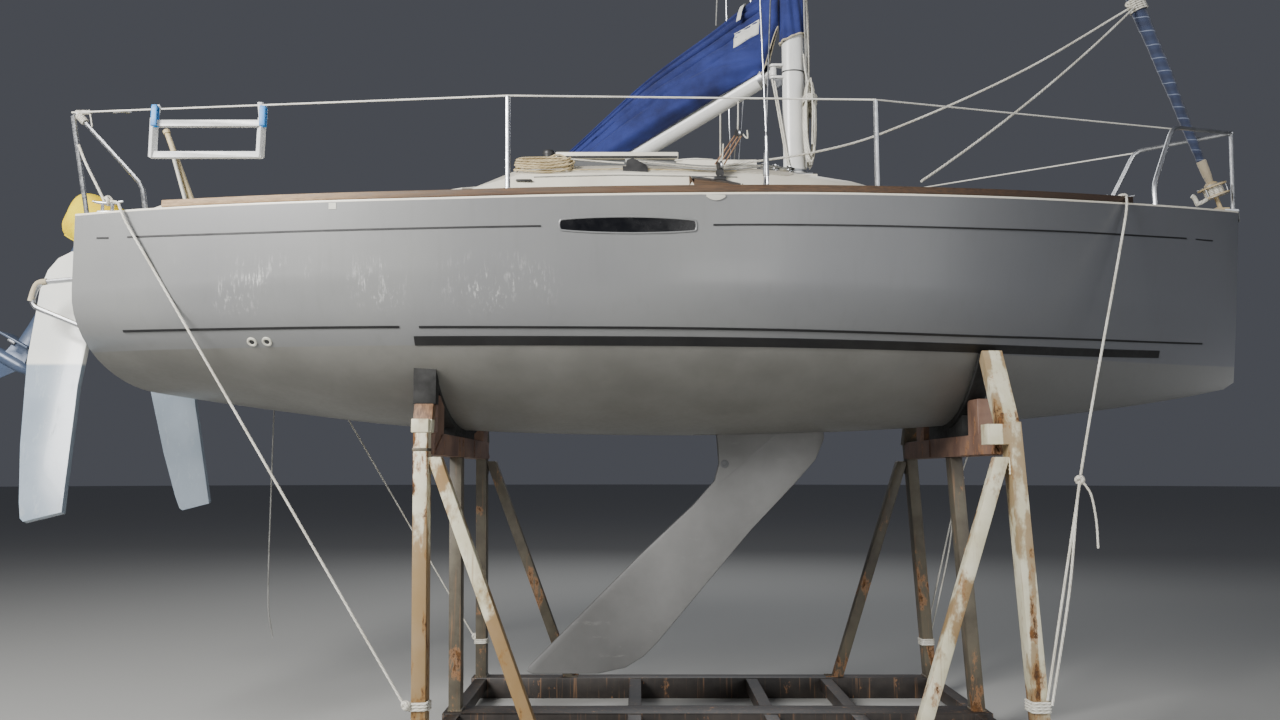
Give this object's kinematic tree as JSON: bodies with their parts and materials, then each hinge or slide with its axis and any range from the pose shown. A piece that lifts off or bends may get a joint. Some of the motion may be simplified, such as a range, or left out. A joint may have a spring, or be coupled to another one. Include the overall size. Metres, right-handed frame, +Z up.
{
  "type": "sailing yacht",
  "caption": "Small sailing yacht with a swing keel, twin rudders, furled headsail, covered mainsail and tilted outboard motor, standing on a steel storage cradle.",
  "frame": {"origin": "on the floor, on the boat's centreline, under the middle rail of the cradle", "axes": "+X towards the bow, +Y to port, +Z up"},
  "size_m": [7.1958, 2.48, 11.2],
  "materials": {
    "hull_gelcoat": "silver-grey gelcoat, salt-streaked, grey below the waterline",
    "deck_gelcoat": "cream-white gelcoat",
    "teak": "oiled teak, weathered",
    "smoked_plastic": "smoked acrylic",
    "alloy": "anodised, satin",
    "cover_cloth": "woven acrylic cloth",
    "jib_cloth": "sailcloth with a dark leech strip",
    "stainless": "polished",
    "lifeline": "plastic-covered wire",
    "keel_iron": "painted grey, scuffed",
    "rudder_gelcoat": "white gelcoat",
    "motor_paint": "blue-grey paint",
    "motor_cover": "yellow cover",
    "rail_steel": "dark, rusty",
    "cradle_paint": "cream paint, rust spots",
    "beam_paint": "red-brown primer",
    "saddle_pad": "black padding on steel plate"
  },
  "bodies": {
    "boat": {"hull": "hull_gelcoat", "deck": "deck_gelcoat", "toe_rail_starboard": "teak", "toe_rail_port": "teak", "washboard": "smoked_plastic", "mast": "alloy", "motor_bracket": "alloy", "hung_frame": "alloy", "mast_cover": "cover_cloth", "winch_starboard": "stainless", "winch_port": "stainless", "furled_jib": "jib_cloth", "furler_drum": "stainless", "shroud_starboard": "stainless", "shroud_port": "stainless", "pulpit": "stainless", "pushpit_starboard": "stainless", "pushpit_port": "stainless", "stanchion_starboard_fore": "stainless", "stanchion_starboard_aft": "stainless", "stanchion_port_fore": "stainless", "stanchion_port_aft": "stainless", "gudgeon_starboard": "stainless", "gudgeon_port": "stainless", "tiller_bracket": "stainless", "rudder_guard_starboard": "stainless", "rudder_guard_port": "stainless", "lifeline_starboard": "lifeline", "lifeline_port": "lifeline", "cradle_rail_starboard": "rail_steel", "cradle_rail_middle": "rail_steel", "cradle_rail_port": "rail_steel", "cradle_post_aft_starboard": "cradle_paint", "cradle_post_aft_centre": "cradle_paint", "cradle_post_aft_port": "cradle_paint", "cradle_post_fore_starboard": "cradle_paint", "cradle_post_fore_centre": "cradle_paint", "cradle_post_fore_port": "cradle_paint", "cradle_strut_aft_starboard": "cradle_paint", "cradle_strut_aft_port": "cradle_paint", "cradle_strut_fore_starboard": "cradle_paint", "cradle_strut_fore_port": "cradle_paint", "cradle_beam_aft": "beam_paint", "cradle_beam_fore": "beam_paint", "cradle_saddle_aft": "saddle_pad", "cradle_saddle_fore": "saddle_pad"},
    "swing_keel": {"keel": "keel_iron"},
    "boom": {"boom": "alloy", "sail_cover": "cover_cloth"},
    "hatch_lid": {"hatch": "deck_gelcoat"},
    "rudder_starboard": {"rudder_starboard": "rudder_gelcoat"},
    "rudder_port": {"rudder_port": "rudder_gelcoat"},
    "tiller": {"tiller_head": "stainless", "tiller": "teak"},
    "tie_bar": {"tie_bar": "alloy"},
    "outboard": {"outboard_leg": "motor_paint", "outboard_cowl": "motor_cover"},
    "propeller": {"propeller": "motor_paint"}
  },
  "joints": [
    {"name": "keel_swing", "type": "hinge", "parent": "boat", "child": "swing_keel", "pos_m": [0.96, 0, 1.79], "axis": [0, 1, 0], "range_deg": [0, 16]},
    {"name": "boom_swing", "type": "hinge", "parent": "boat", "child": "boom", "pos_m": [0.795, 0, 3.826], "axis": [0, 0, 1], "range_deg": [0, 50]},
    {"name": "hatch_slide", "type": "slide", "parent": "boat", "child": "hatch_lid", "axis": [1, 0, 0], "range_m": [0, 0.44]},
    {"name": "tiller_turn", "type": "hinge", "parent": "boat", "child": "tiller", "pos_m": [-2.84, 0, 2.668], "axis": [0, 0, 1], "range_deg": [-25, 25]},
    {"name": "tie_bar_pivot", "type": "hinge", "parent": "tiller", "child": "tie_bar", "pos_m": [-2.63, 0, 2.712], "axis": [0, 0, 1], "range_deg": [-25, 25]},
    {"name": "rudder_starboard_turn", "type": "hinge", "parent": "boat", "child": "rudder_starboard", "pos_m": [-2.84, -0.545, 2.5], "axis": [0, 0.2588, 0.9659], "range_deg": [-25, 25]},
    {"name": "rudder_port_turn", "type": "hinge", "parent": "boat", "child": "rudder_port", "pos_m": [-2.84, 0.545, 2.5], "axis": [0, -0.2588, 0.9659], "range_deg": [-25, 25]},
    {"name": "outboard_tilt", "type": "hinge", "parent": "boat", "child": "outboard", "pos_m": [-2.995, -0.3, 2.6], "axis": [0, -1, 0], "range_deg": [0, 29]},
    {"name": "propeller_spin", "type": "hinge", "parent": "outboard", "child": "propeller", "pos_m": [-3.61162, -0.3, 2.14145], "axis": [0.8746, 0, -0.4848], "continuous": true}
  ],
  "couplings": [
    {"joint": "tie_bar_pivot", "follows": "tiller_turn", "ratio": -1},
    {"joint": "rudder_starboard_turn", "follows": "tiller_turn", "ratio": 1},
    {"joint": "rudder_port_turn", "follows": "tiller_turn", "ratio": 1}
  ]
}
